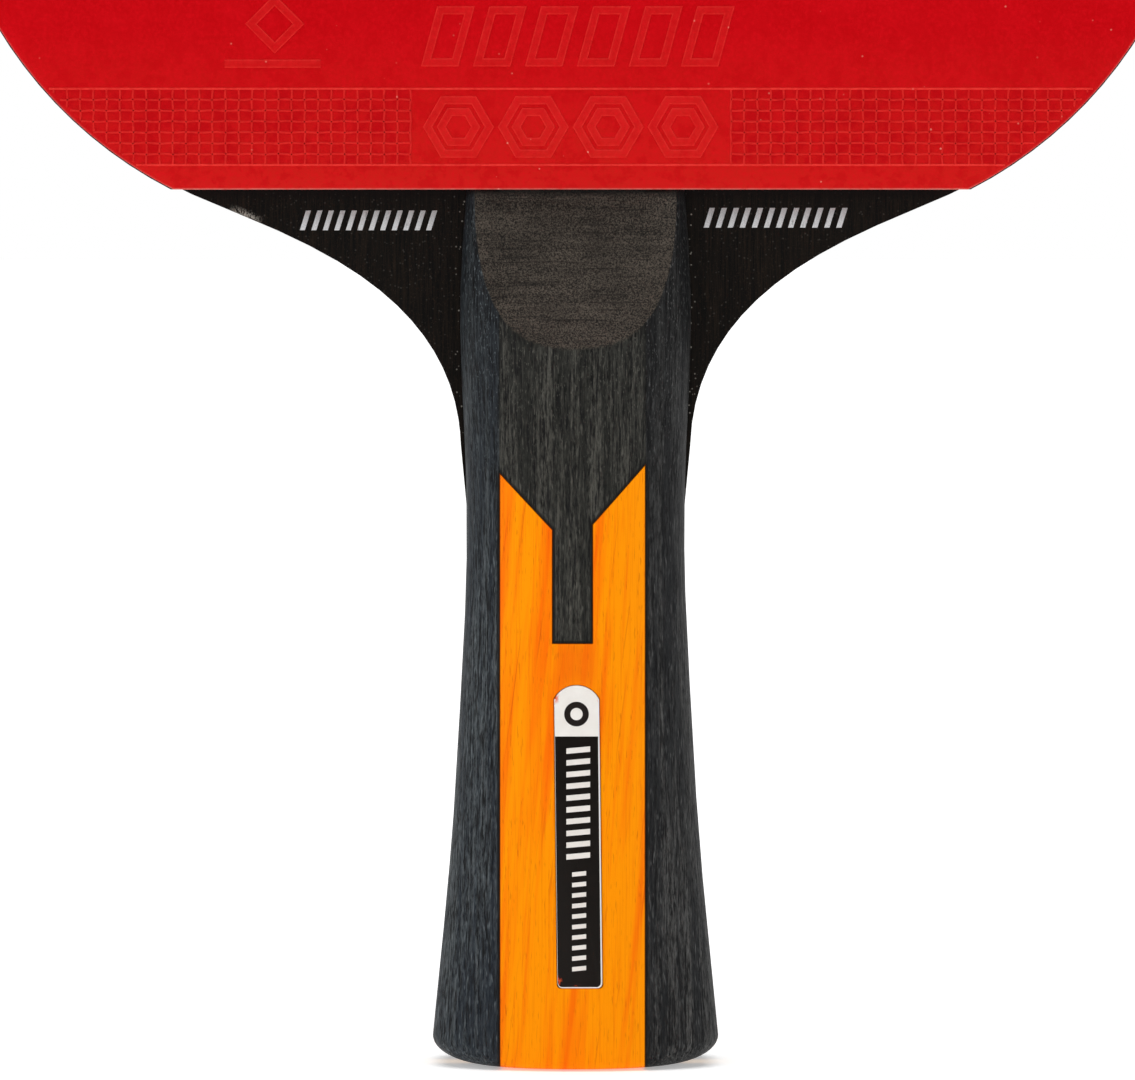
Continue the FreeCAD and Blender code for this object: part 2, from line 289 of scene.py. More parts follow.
def orange_material():
    """Open-grained wood, stained orange, with redder growth bands that lean a little and fine pores."""
    g = Graph("orange_stained_wood")
    bands = g.noise(g.slanted(2.2, 14, 42, (2, 0, 1), -0.10), 3, 0.55)
    streaks = g.noise(g.slanted(0.9, 14, 26, (6, 2, 3), -0.06), 3, 0.6)
    veins = g.noise(g.slanted(0.36, 14, 15, (4, 0, 7), -0.13), 2, 0.5)
    lines = g.noise(g.stretched(0.16, 14, 11, (3, 0, 2)), 2, 0.6)
    pores = g.span(g.noise(g.stretched(0.15, 3, 1.5, (1, 6, 3)), 1), 0.64, 0.76)
    knot_x = g.span(g.absolute(g.minus(g.axis("X"), 0.0006)), 0.0012, 0.0032, 1.0, 0.0)
    knot_z = g.span(g.absolute(g.minus(g.axis("Z"), 0.0462)), 0.0012, 0.0052, 1.0, 0.0)
    knot = g.times(knot_x, knot_z)
    base = g.mix(g.span(bands, 0.46, 0.64), srgb(255, 150, 0), srgb(250, 110, 2))
    base = g.mix(g.span(streaks, 0.55, 0.70, 0.0, 0.5), base, srgb(244, 96, 2))
    base = g.mix(g.times(knot, 0.6), base, srgb(240, 98, 6))
    base = g.mix(g.span(veins, 0.64, 0.78, 0.0, 0.6), base, srgb(206, 76, 6))
    base = g.mix(g.span(lines, 0.5, 0.75, 0.0, 0.45), base, srgb(228, 100, 0))
    base = g.mix(g.times(pores, 0.4), base, srgb(186, 76, 4))
    base = g.mix(g.times(g.attribute("seam"), 0.9), base, srgb(48, 20, 4))
    height = g.minus(g.times(lines, 0.5), g.times(pores, 0.8))
    rough = g.span(lines, 0.3, 0.7, 0.45, 0.55)
    return g.finish(Base_Color=base, Roughness=rough, Specular_IOR_Level=0.04,
                    Normal=g.bump(height, 0.05, 0.5))


def black_ply_material():
    """Black-stained veneer with fine upright grain, a worn patch on one wing's edge and a painted shadow,
    faintly red, just under the rubber's edge.
    """
    g = Graph("black_stained_wood")
    fibres = g.noise(g.stretched(0.3, 0.3, 11), 3, 0.65)
    fine = g.noise(g.stretched(0.13, 0.13, 3), 2)
    bands = g.noise(g.stretched(3, 3, 60), 2)
    speckle = g.noise(g.stretched(0.16, 0.16, 0.22, (5, 5, 5)), 2, 0.7)
    tone = g.plus(g.times(fibres, 0.5), g.times(fine, 0.5))
    base = g.mix(g.span(tone, 0.42, 0.66), srgb(3, 2, 1), srgb(27, 19, 12))
    base = g.mix(g.span(speckle, 0.58, 0.74, 0.0, 0.5), base, srgb(52, 40, 30))
    base = g.mix(g.span(bands, 0.4, 0.7, 0.0, 0.4), base, srgb(10, 7, 4))
    dust_cells = g.cells(g.stretched(0.62))
    beside = g.span(g.absolute(g.minus(g.axis("X"), GRIP_X * MM)), 0.0133, 0.0140, 1.0, 0.12)
    dust = g.times(g.span(dust_cells, 0.10, 0.20, 1.0, 0.0), beside)
    base = g.mix(g.times(dust, 0.8), base, srgb(140, 136, 128))
    ragged = g.noise(g.stretched(0.24, 0.24, 0.34, (2, 3, 4)), 3, 0.7)
    offset = g.add("ShaderNodeVectorMath", operation="SUBTRACT")
    g.put(offset.inputs[0], g.coords)
    g.put(offset.inputs[1], (SCUFF_X * MM, 0, SCUFF_Z * MM))
    lean = (math.sin(SCUFF_ANGLE), 0, math.cos(SCUFF_ANGLE))
    along = g.dot(offset.outputs["Vector"], (lean[2], 0, -lean[0]))
    inward = g.dot(offset.outputs["Vector"], lean)
    worn = g.times(g.span(g.absolute(along), 0.0007, 0.0021, 1.0, 0.0),
                  g.span(inward, 0.0003, 0.0011, 1.0, 0.0))
    worn = g.times(worn, g.span(ragged, 0.44, 0.56))
    base = g.mix(worn, base, srgb(172, 168, 158))
    # painted shadow, faintly red, just under the rubber's edge
    painted_shadow_under_rubber = g.span(g.axis("Z"), (RUBBER_Z - 1.4) * MM, (RUBBER_Z - 0.3) * MM, 0.0, 0.85)
    base = g.mix(painted_shadow_under_rubber, base, srgb(8, 1, 1))
    return g.finish(Base_Color=base, Roughness=g.span(tone, 0.3, 0.7, 0.55, 0.45), Specular_IOR_Level=0.09,
                    Normal=g.bump(tone, 0.03, 0.5))


def edge_grain_material(name, light, dark, stained_from):
    """A ply seen at its edge: raw wood in the handle, stained black on the wings above it."""
    g = Graph(name)
    along = g.noise(g.stretched(6, 0.25, 30), 3, 0.6)
    pores = g.noise(g.stretched(0.3, 0.3, 1.8), 2)
    wood = g.mix(g.span(along, 0.3, 0.7), light, dark)
    wood = g.mix(g.span(pores, 0.55, 0.75, 0.0, 0.5), wood, dark)
    edge = g.plus(g.axis("Z"), g.times(g.noise(g.stretched(1, 1, 2.5), 2), 0.004))
    stained = g.span(edge, stained_from, stained_from + 0.0025)
    stain = g.mix(g.span(pores, 0.3, 0.7), srgb(9, 7, 6), srgb(24, 19, 16))
    base = g.mix(stained, wood, stain)
    return g.finish(Base_Color=base, Roughness=g.span(along, 0.3, 0.7, 0.6, 0.75),
                    Specular_IOR_Level=0.15, Normal=g.bump(along, 0.03, 0.5))


def carbon_material():
    g = Graph("carbon_cloth")
    warp = g.add("ShaderNodeTexWave", {
        "Vector": g.stretched(1.6), "Scale": 1.0, "Distortion": 0.4})
    weft = g.noise(g.stretched(0.2, 0.2, 1.2), 2)
    weave = g.times(warp.outputs["Fac"], weft)
    base = g.mix(g.span(weave, 0.1, 0.5), srgb(14, 14, 15), srgb(52, 53, 56))
    return g.finish(Base_Color=base, Roughness=g.span(weft, 0.3, 0.7, 0.3, 0.5),
                    Normal=g.bump(weave, 0.02, 0.5))


def foam_material():
    """Sponge: fine closed cells, deep red."""
    g = Graph("sponge")
    cells = g.cells(g.stretched(0.28))
    larger = g.noise(g.stretched(1.2), 3)
    base = g.mix(g.span(cells, 0.1, 0.6), srgb(52, 10, 8), srgb(148, 42, 30))
    base = g.mix(g.span(larger, 0.4, 0.7, 0.0, 0.4), base, srgb(96, 24, 18))
    return g.finish(Base_Color=base, Roughness=g.span(larger, 0.3, 0.7, 0.8, 0.92),
                    Normal=g.bump(cells, 0.08, 0.8))


def glue_material():
    g = Graph("glue")
    lumps = g.noise(g.stretched(0.8), 3)
    base = g.mix(g.span(lumps, 0.3, 0.7), srgb(120, 104, 84), srgb(70, 58, 46))
    return g.finish(Base_Color=base, Roughness=g.span(lumps, 0.3, 0.7, 0.35, 0.6),
                    Normal=g.bump(lumps, 0.03, 0.5))


def tape_material():
    """Thin woven tape, black, a little dusty and rubbed."""
    g = Graph("edge_tape")
    warp = g.noise(g.stretched(0.5, 0.16, 0.5), 2)
    weft = g.noise(g.stretched(0.16, 0.5, 0.16, (3, 3, 3)), 2)
    weave = g.plus(g.times(warp, 0.5), g.times(weft, 0.5))
    rubbed = g.noise(g.stretched(9, 3, 9), 4, 0.6)
    base = g.mix(g.span(weave, 0.4, 0.62), srgb(11, 10, 10), srgb(32, 30, 30))
    base = g.mix(g.span(rubbed, 0.55, 0.75, 0.0, 0.25), base, srgb(70, 64, 60))
    return g.finish(Base_Color=base, Roughness=g.span(rubbed, 0.3, 0.7, 0.6, 0.75), Specular_IOR_Level=0.15,
                    Normal=g.bump(weave, 0.04, 0.6))


def plastic_material(name, colour, second, rough, chips=()):
    """Printed plastic. Chips are (centre, inner radius, outer radius) where the orange beneath shows."""
    g = Graph(name)
    haze = g.noise(g.stretched(1.6), 4, 0.6)
    scratch = g.noise(g.stretched(0.08, 0.08, 2.5), 2)
    base = g.mix(g.span(haze, 0.35, 0.7, 0.0, 0.5), colour, second)
    ragged = g.noise(g.stretched(0.38, 0.38, 0.55, (7, 1, 4)), 3, 0.6)
    for centre, inner, outer in chips:
        spot = g.add("ShaderNodeVectorMath", operation="DISTANCE")
        g.put(spot.inputs[0], g.coords)
        g.put(spot.inputs[1], centre)
        near = g.span(spot.outputs["Value"], inner, outer, 1.0, 0.0)
        worn = g.times(near, g.span(ragged, 0.52, 0.55))
        base = g.mix(worn, base, srgb(222, 84, 34))
    return g.finish(Base_Color=base, Roughness=g.span(haze, 0.3, 0.7, rough, rough + 0.1),
                    Specular_IOR_Level=0.1, Normal=g.bump(scratch, 0.006, 0.4))


def silver_material():
    g = Graph("silver_print")
    flake = g.noise(g.stretched(0.12), 2)
    gaps = g.noise(g.stretched(0.25, 0.25, 1.0), 2)
    base = g.mix(g.span(flake, 0.35, 0.7), srgb(176, 177, 178), srgb(206, 207, 208))
    base = g.mix(g.span(gaps, 0.62, 0.75, 0.0, 0.5), base, srgb(60, 58, 56))
    return g.finish(Base_Color=base, Roughness=g.span(flake, 0.3, 0.7, 0.4, 0.55), Metallic=0.35,
                    Normal=g.bump(flake, 0.01, 0.4))


def floor_material():
    g = Graph("floor")
    soft = g.noise(g.stretched(120), 2)
    base = g.mix(g.span(soft, 0.3, 0.7), (0.93, 0.93, 0.93, 1), (0.95, 0.95, 0.95, 1))
    return g.finish(Base_Color=base, Roughness=0.9, Emission_Color=(1, 1, 1, 1), Emission_Strength=0.35)


RED = rubber_material("red_rubber", srgb(186, 0, 8), srgb(212, 8, 22), srgb(197, 26, 20), srgb(180, 2, 12),
                      srgb(226, 54, 48), srgb(204, 104, 94), srgb(240, 170, 150))
BLACK_RUBBER = rubber_material("black_rubber", srgb(14, 14, 15), srgb(27, 27, 28), srgb(22, 22, 23),
                               srgb(12, 12, 12), srgb(42, 42, 43), srgb(62, 62, 62), srgb(150, 150, 150))
SANDED_DARK, SANDED_LIGHT = srgb(14, 11, 9), srgb(91, 83, 74)
CHARCOAL_LEFT = strip_material("charcoal_wood_left", srgb(4, 6, 8), srgb(82, 88, 91), srgb(20, 28, 38),
                               srgb(124, 134, 138), 0.72)
CHARCOAL_RIGHT = strip_material("charcoal_wood_right", srgb(4, 4, 4), srgb(74, 74, 73), srgb(17, 19, 22),
                                srgb(118, 119, 118), 0.75)
INLAY = strip_material("dark_inlay_wood", srgb(5, 5, 4), srgb(80, 79, 73), srgb(22, 23, 20),
                       srgb(116, 114, 106), 0.3)
ORANGE = orange_material()
BLACK_PLY = black_ply_material()
CORE = edge_grain_material("core_wood", srgb(206, 178, 136), srgb(160, 126, 84), 0.0655)
MEDIAL = edge_grain_material("medial_wood", srgb(180, 142, 96), srgb(128, 92, 54), 0.0655)
CARBON = carbon_material()
SPONGE = foam_material()
GLUE = glue_material()
TAPE = tape_material()
BADGE_FACE_Y = -(BLADE_HALF_T + DOME_H) * MM
WHITE_PLASTIC = plastic_material("badge_white", srgb(238, 235, 229), srgb(226, 221, 214), 0.34, (
    ((-0.0018, BADGE_FACE_Y, 0.0424), 0.0001, 0.0007), ((0.0034, BADGE_FACE_Y, 0.0424), 0.0001, 0.0006)))
BLACK_PLASTIC = plastic_material("badge_black", srgb(19, 15, 12), srgb(26, 21, 18), 0.34, (
    ((-0.0016, BADGE_FACE_Y, 0.0102), 0.0002, 0.0007), ((0.0008, BADGE_FACE_Y, 0.0094), 0.0001, 0.0005)))
WHITE_PRINT = plastic_material("badge_print_white", srgb(234, 230, 224), srgb(218, 212, 206), 0.4)
DARK_PRINT = plastic_material("badge_print_black", srgb(26, 20, 17), srgb(36, 30, 27), 0.4)
SILVER = silver_material()
FLOOR = floor_material()

# carried-over CAD nodes get these materials
CARRIED = {
    "core_ply": CORE,
    "medial_ply_front": MEDIAL, "medial_ply_back": MEDIAL,
    "carbon_layer_front": CARBON, "carbon_layer_back": CARBON,
    "face_ply_front": BLACK_PLY, "face_ply_back": BLACK_PLY,
    "glue_film_front": GLUE, "glue_film_back": GLUE,
    "sponge_front": SPONGE, "sponge_back": SPONGE,
    "edge_tape": TAPE,
}
for node_name, material in CARRIED.items():
    for material_slot in nodes[node_name].material_slots:
        material_slot.material = material


# ---- mesh helpers --------------------------------------------------------------------------------
def circle_into(bm, x, y, z, r, sides):
    """Points of an upright circle, given in mm."""
    turns = [2 * math.pi * k / sides for k in range(sides)]
    return [bm.verts.new(((x + r * math.cos(a)) * MM, y * MM, (z + r * math.sin(a)) * MM)) for a in turns]


def bridge(bm, low, high):
    """Faces between two closed rings of as many points."""
    for i in range(len(low)):
        j = (i + 1) % len(low)
        bm.faces.new((low[i], low[j], high[j], high[i]))


# ---- head outline --------------------------------------------------------------------------------
def head_half(z):
    """Half-width of the covering at a height, from the same three tangent arcs as the part."""
    rise = WIDEST_Z - CORNER_Z
    reach = HEAD_HALF_W - CORNER_X
    side_r = (reach ** 2 + rise ** 2 - CORNER_R ** 2) / (2 * (reach - CORNER_R))
    side_x = HEAD_HALF_W - side_r
    top = TOP_Z - WIDEST_Z
    crown_r = (side_x ** 2 + top ** 2 - side_r ** 2) / (2 * (top - side_r))
    crown_z = TOP_Z - crown_r
    corner_join_z = WIDEST_Z + (CORNER_Z - WIDEST_Z) * side_r / (side_r - CORNER_R)
    crown_join_z = WIDEST_Z + (crown_z - WIDEST_Z) * side_r / (side_r - crown_r)
    if z < corner_join_z:
        return CORNER_X + math.sqrt(max(CORNER_R ** 2 - (z - CORNER_Z) ** 2, 0))
    if z < crown_join_z:
        return side_x + math.sqrt(side_r ** 2 - (z - WIDEST_Z) ** 2)
    return math.sqrt(max(crown_r ** 2 - (z - crown_z) ** 2, 0))


def head_outline(step=1.4):
    """Points round the covering, anticlockwise from the lower left corner, close to step mm apart."""
    heights = [RUBBER_Z]
    while heights[-1] < TOP_Z - 0.01:
        z = heights[-1]
        here = head_half(z)
        dz = step
        while dz > 0.002 and math.hypot(head_half(min(z + dz, TOP_Z)) - here, dz) > step * 1.05:
            dz *= 0.85
        heights.append(min(z + dz, TOP_Z))
    right = [(head_half(z), z) for z in heights[:-1]] + [(0.0, TOP_Z)]
    return [(-x, z) for x, z in right[:1]] + right + [(-x, z) for x, z in reversed(right[1:-1])]


# ---- topsheets -----------------------------------------------------------------------------------
def skin_into(bm, side):
    """The smooth skin: a plate with softly rounded edges, its cut lower edge marked as the rim, which the
    material paints paler, partly as a painted highlight.
    """
    rim = bm.verts.layers.float.new("rim")
    outline = [Vector((x, 0, z)) for x, z in head_outline()]
    count = len(outline)
    middle = Vector((0, 0, WIDEST_Z))
    r = 0.22  # of the rounded edge
    rings = []
    for inset, level, worn in ((0, SKIN_BACK, 0), (0, SHEET_TOP - r, 1), (r * 0.29, SHEET_TOP - r * 0.29, 1),
                               (r, SHEET_TOP, 0), (1.5, SHEET_TOP, 0)):
        ring = []
        for i, p in enumerate(outline):
            before, after = outline[i - 1], outline[(i + 1) % count]
            tangent = (after - before).normalized()
            inward = Vector((-tangent.z, 0, tangent.x))
            if inward.dot(middle - p) < 0:
                inward = -inward
            q = p + inward * inset
            v = bm.verts.new((q.x * MM, side * level * MM, q.z * MM))
            v[rim] = worn if p.z < RUBBER_Z + 0.01 else worn * 0.25
            ring.append(v)
        rings.append(ring)
    for low, high in zip(rings, rings[1:]):
        bridge(bm, low, high)
    bm.faces.new(rings[-1])
    bm.faces.new(rings[0])


def peg_into(bm, x, z, low, high, low_r, high_r, side, sides=14):
    """One pimple, a short tapered peg standing on the skin's back."""
    foot = circle_into(bm, x, side * low, z, low_r, sides)
    root = circle_into(bm, x, side * high, z, high_r, sides)
    bridge(bm, foot, root)
    bm.faces.new(foot)
    bm.faces.new(root)


# sections of a moulded ridge, as (offset in widths, share of the height, share of the rub)
NARROW = ((-0.5, 0, 0.5), (-0.22, 1, 1), (0.22, 1, 1), (0.5, 0, 0.5))
WIDE = ((-0.5, 0, 0.5), (-0.41, 1, 1), (-0.27, 0.7, 0.3), (0.27, 0.7, 0.3), (0.41, 1, 1), (0.5, 0, 0.5))
RIDGE_SUNK = 0.03  # how far a ridge's foot lies below the skin


def ridge_into(bm, points, side, closed=False, width=0.3, height=0.1, rubbed=0.8, section=NARROW):
    """A low moulded ridge along a path on the skin, rubbed paler where it stands highest."""
    worn = bm.verts.layers.float["ridge"]
    path = [Vector((x, 0, z)) for x, z in points]
    count = len(path)
    rows = []
    for i, p in enumerate(path):
        before = path[i - 1] if closed or i > 0 else p
        after = path[(i + 1) % count] if closed or i < count - 1 else p
        first = (p - before).normalized() if (p - before).length > 0 else (after - p).normalized()
        second = (after - p).normalized() if (after - p).length > 0 else first
        tangent = (first + second).normalized()
        across = Vector((-tangent.z, 0, tangent.x))
        stretch = 1 / max(abs(across.dot(Vector((-first.z, 0, first.x)))), 0.5)
        row = []
        for offset, rise, amount in section:
            q = p + across * (offset * width * stretch)
            lift = rise * (height + RIDGE_SUNK) - RIDGE_SUNK
            v = bm.verts.new((q.x * MM, side * (SHEET_TOP + lift) * MM, q.z * MM))
            v[worn] = amount * rubbed
            row.append(v)
        rows.append(row)
    pairs = list(zip(rows, rows[1:])) + ([(rows[-1], rows[0])] if closed else [])
    for a, b in pairs:
        for k in range(len(section) - 1):
            bm.faces.new((a[k], a[k + 1], b[k + 1], b[k]))
        bm.faces.new((a[-1], a[0], b[0], b[-1]))
    if not closed:
        bm.faces.new(rows[0])
        bm.faces.new(rows[-1])


def leaning_bar(x, z, width, height, lean):
    """Corners of a bar centred at x, z, whose top stands lean to the right of its foot."""
    w, h, shift = width / 2, height / 2, lean / 2
    return [(x - w - shift, z - h), (x + w - shift, z - h), (x + w + shift, z + h), (x - w + shift, z + h)]


def hexagon(x, z, r):
    return [(x + r * math.cos(math.pi / 3 * k), z + r * math.sin(math.pi / 3 * k)) for k in range(6)]


GRID_ROWS, GRID_PITCH_X = 7, 1.5
WAVER = 0.05  # how far the grid's lines stray
BROAD = {"width": 1.0, "rubbed": 0.6, "section": WIDE}
HEXAGON_RADII, HEXAGON_PITCH = (3.5, 1.95), 8.5
BARS_X, BARS_Z, BAR_PITCH = 0.8, 117.4, 5.9
DIAMOND_X, DIAMOND_Z, DIAMOND_R = -33.6, 118.8, 2.7
RULE_LEFT, RULE_RIGHT, RULE_Z = -39.3, -28.4, 114.3


def wavering(x0, z0, x1, z1, phase):
    """A nearly straight path with a slight hand-cut waver."""
    steps = max(int(math.hypot(x1 - x0, z1 - z0) / 0.7), 1)
    path = []
    for k in range(steps + 1):
        t = k / steps
        x, z = x0 + (x1 - x0) * t, z0 + (z1 - z0) * t
        path.append((x + WAVER * math.sin(2.3 * z + phase), z + WAVER * math.sin(1.9 * x + 1.7 * phase)))
    return path


def emboss_into(bm, side):
    """Plain moulded ornament near the handle: two rules, a grid either side, shapes between and above."""
    for z in (BAND_LOW_Z, BAND_HIGH_Z):
        reach = head_half(z) - 0.6
        ridge_into(bm, [(-reach, z), (reach, z)], side, width=0.3, rubbed=1.0)
    row_step = (BAND_HIGH_Z - BAND_LOW_Z) / GRID_ROWS
    for sign in (-1, 1):
        for row in range(1, GRID_ROWS):
            z = BAND_LOW_Z + row * row_step
            path = wavering(sign * GRID_FROM_X, z, sign * (head_half(z) - 0.7), z, row * 2.1 + sign)
            ridge_into(bm, path, side, width=0.3, height=0.08, rubbed=0.5)
        x = GRID_FROM_X
        while x < head_half(BAND_HIGH_Z) - 0.8:
            low = BAND_LOW_Z
            while low < BAND_HIGH_Z - 0.2 and head_half(low) - 0.7 < x:
                low += 0.1
            if BAND_HIGH_Z - low > 0.4:
                path = wavering(sign * x, low, sign * x, BAND_HIGH_Z, x * 1.3)
                ridge_into(bm, path, side, width=0.3, height=0.08, rubbed=0.5)
            x += GRID_PITCH_X
    middle_z = (BAND_LOW_Z + BAND_HIGH_Z) / 2
    for k in range(4):
        for r in HEXAGON_RADII:
            ridge_into(bm, hexagon((k - 1.5) * HEXAGON_PITCH, middle_z, r), side, closed=True, **BROAD)
    for k in range(6):
        x = (k - 2.5) * BAR_PITCH + BARS_X
        ridge_into(bm, leaning_bar(x, BARS_Z, 3.3, 5.9, 1.6), side, closed=True, **BROAD)
    corners = ((0, -1), (1, 0), (0, 1), (-1, 0))
    diamond = [(DIAMOND_X + DIAMOND_R * a, DIAMOND_Z + DIAMOND_R * b) for a, b in corners]
    ridge_into(bm, diamond, side, closed=True, **BROAD)
    ridge_into(bm, [(RULE_LEFT, RULE_Z), (RULE_RIGHT, RULE_Z)], side, **BROAD)


PIMPLE_PITCH, PIMPLE_ROWS = 2.15, 4  # only the rows that can be seen past the skin's lower edge


def make_topsheet(side, word, material):
    bm = bmesh.new()
    bm.verts.layers.float.new("ridge")
    skin_into(bm, side)
    row_step = PIMPLE_PITCH * math.sqrt(3) / 2
    for row in range(PIMPLE_ROWS):
        z = RUBBER_Z + 1.05 + row * row_step
        column = -math.floor(head_half(z) / PIMPLE_PITCH)
        while True:
            x = column * PIMPLE_PITCH + (row % 2) * PIMPLE_PITCH / 2
            if x > head_half(z) - 1.2:
                break
            if x > -head_half(z) + 1.2:
                peg_into(bm, x, z, SHEET_BACK, SKIN_BACK + 0.02, 0.72, 0.86, side)
            column += 1
    emboss_into(bm, side)
    piece = make_object(f"topsheet_{word}_moulded", bm, [material])
    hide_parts(f"topsheet_{word}")


make_topsheet(-1, "front", RED)
make_topsheet(1, "back", BLACK_RUBBER)


# ---- grip ----------------------------------------------------------------------------------------
def natural_spline(points):
    """Second derivatives of the natural cubic through points, and a function that evaluates it."""
    t = np.array([p[0] for p in points])
    v = np.array([p[1] for p in points])
    n = len(t)
    a = np.zeros((n, n))
    b = np.zeros(n)
    a[0, 0] = a[-1, -1] = 1
    for i in range(1, n - 1):
        h0, h1 = t[i] - t[i - 1], t[i + 1] - t[i]
        a[i, i - 1], a[i, i], a[i, i + 1] = h0, 2 * (h0 + h1), h1
        b[i] = 6 * ((v[i + 1] - v[i]) / h1 - (v[i] - v[i - 1]) / h0)
    m = np.linalg.solve(a, b)

    def value(z):
        z = np.clip(np.asarray(z, float), t[0], t[-1])
        i = np.clip(np.searchsorted(t, z, side="right") - 1, 0, n - 2)
        h = t[i + 1] - t[i]
        p, q = (t[i + 1] - z) / h, (z - t[i]) / h
        return p * v[i] + q * v[i + 1] + ((p ** 3 - p) * m[i] + (q ** 3 - q) * m[i + 1]) * h ** 2 / 6

    return value


side_half = natural_spline(SIDE_POINTS)


def rounding(z, across, along):
    """How far a quarter-ellipse edge at the butt draws a face in, at a height within it."""
    rest = np.maximum(along - np.asarray(z, float), 0) / along
    return across * (1 - np.sqrt(1 - rest * rest))


def half_width(z):
    return side_half(np.maximum(z, BUTT_RZ)) - rounding(z, BUTT_RX, BUTT_RZ)


def crest_height(z):
    return DOME_H - rounding(z, BUTT_EDGE_R, BUTT_EDGE_R)


def scoop_height(x, z):
    """Height of the barrel-shaped scoop above the blade's face, very large where it doesn't reach."""
    r = SCOOP_R - SCOOP_FALL * (np.minimum(np.abs(x - GRIP_X), 15) / SCOOP_FALL_X) ** 4
    under = r ** 2 - (z - SCOOP_Z) ** 2
    return np.where(under > 0, SCOOP_H - np.sqrt(np.maximum(under, 0)), 99.0)


def scooped(x, y, z, soften=0.22):
    """y cut down to the scoop with a sanded edge, and how far into the scoop each point is."""
    s = scoop_height(x, z)
    h = np.maximum(soften - np.abs(y - s), 0) / soften
    lower = np.minimum(y, s) - h * h * soften / 4
    return np.maximum(lower, 0), np.clip((y - s) / 0.12 + 0.5, 0, 1)


def dome_height(x, z):
    share = np.clip(np.abs(x - GRIP_X) / half_width(z), 0, 1)
    return crest_height(z) * (1 - share ** DOME_POWER) ** (1 / DOME_POWER)


def eased(distance, r=0.13):
    """Drop of a small rounded edge at a distance in from it."""
    d = np.clip(distance, 0, r)
    return r - np.sqrt(r * r - (r - d) ** 2)


def butt_rows():
    return [BUTT_RZ * (1 - math.cos(math.pi / 2 * k / 12)) for k in range(12)]


def long_rows(low, high, step):
    count = max(int(round((high - low) / step)), 1)
    return [low + (high - low) * k / count for k in range(count + 1)]


EDGE_STEPS = (0.0, 0.03, 0.07, 0.13, 0.22, 0.36, 0.5)
TIGHT = 0.03  # rounding at the joints between the dark pieces, which were sanded together
DARK_SEAM, ORANGE_SEAM = 0.36, 0.12
TIPS_LOW_Z, TIPS_HIGH_Z = 66.0, 69.5  # the orange inlay's tips lie between these
SCOOP_LOW_Z = 79.0  # below the thumb scoop


def seam_line(distance, reach):
    """Stain gathered along a joint: full by the edge, gone at reach."""
    return np.clip((reach - distance) / (reach * 0.45), 0, 1)


def close_piece(name, blocks, side, materials, node):
    """Joins grids of (x, y, z, scoop, seam) points into one closed piece that stands on the blade's face."""
    bm = bmesh.new()
    scoop_layer = bm.verts.layers.float.new("scoop")
    seam_layer = bm.verts.layers.float.new("seam")
    known = {}

    def vertex(p):
        key = (round(p[0], 4), round(p[1], 4), round(p[2], 4))
        if key not in known:
            v = bm.verts.new((p[0] * MM, side * (BLADE_HALF_T + p[1]) * MM, p[2] * MM))
            v[scoop_layer] = p[3]
            v[seam_layer] = p[4]
            known[key] = v
        return known[key]

    for grid in blocks:
        rows, columns = grid.shape[:2]
        for i in range(rows - 1):
            for j in range(columns - 1):
                ring = []
                for p in (grid[i, j], grid[i, j + 1], grid[i + 1, j + 1], grid[i + 1, j]):
                    v = vertex(p)
                    if v not in ring:
                        ring.append(v)
                if len(ring) > 2:
                    bm.faces.new(ring)
    rim = [e for e in bm.edges if len(e.link_faces) == 1]
    foot = {}
    for e in rim:
        for v in e.verts:
            if v not in foot:
                if abs(abs(v.co.y) - BLADE_HALF_T * MM) < 1e-7:
                    foot[v] = v
                else:
                    w = bm.verts.new((v.co.x, side * BLADE_HALF_T * MM, v.co.z))
                    w[scoop_layer] = v[scoop_layer]
                    w[seam_layer] = v[seam_layer]
                    foot[v] = w
    for e in rim:
        a, b = e.verts
        ring = []
        for v in (a, b, foot[b], foot[a]):
            if v not in ring:
                ring.append(v)
        if len(ring) > 2:
            bm.faces.new(ring)
    base = [e for e in bm.edges if len(e.link_faces) == 1]
    bmesh.ops.contextual_create(bm, geom=base)
    piece = make_object(name, bm, materials)
    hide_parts(node)
    return piece


def side_strip(sign):
    """Grid of a side strip's outer surface, from the seam round to the blade's face."""
    rows = butt_rows() + long_rows(BUTT_RZ, TIPS_LOW_Z, 1.1) + long_rows(TIPS_LOW_Z, TIPS_HIGH_Z, 0.25)[1:]
    rows += long_rows(TIPS_HIGH_Z, SCOOP_LOW_Z, 1.1)[1:] + long_rows(SCOOP_LOW_Z, RUBBER_Z, 0.22)[1:]
    seam_u = PANEL_HALF_W - sign * (GRIP_X - PANEL_X)
    grid = []
    for z in rows:
        half, height = float(half_width(z)), float(crest_height(z))
        us = [seam_u + d for d in EDGE_STEPS]
        start = math.acos((us[-1] / half) ** (DOME_POWER / 2))
        us = us[:-1]
        ys = [height * (1 - (u / half) ** DOME_POWER) ** (1 / DOME_POWER) for u in us]
        turns = 44
        for k in range(turns + 1):
            angle = start * (1 - k / turns)
            us.append(half * math.cos(angle) ** (2 / DOME_POWER))
            ys.append(height * math.sin(angle) ** (2 / DOME_POWER))
        us, ys = np.array(us), np.array(ys)
        xs = GRIP_X + sign * us
        ys, scoop = scooped(xs, ys, np.full_like(xs, z))
        beside_orange = min(max((NOTCH_TIP_Z + sign * NOTCH_TIP_SKEW + 0.3 - z) / 0.5, 0), 1)
        edge = np.maximum(us - seam_u, 0)
        drop = np.maximum(eased(edge, TIGHT + (0.13 - TIGHT) * beside_orange), eased(RUBBER_Z - z))
        ys = np.maximum(ys - drop, 0)
        seam = seam_line(edge, DARK_SEAM) * (0.12 + 0.88 * beside_orange) * (1 - scoop)
        grid.append(np.stack([xs, ys, np.full_like(xs, z), scoop, seam], axis=-1))
    return [np.array(grid)]


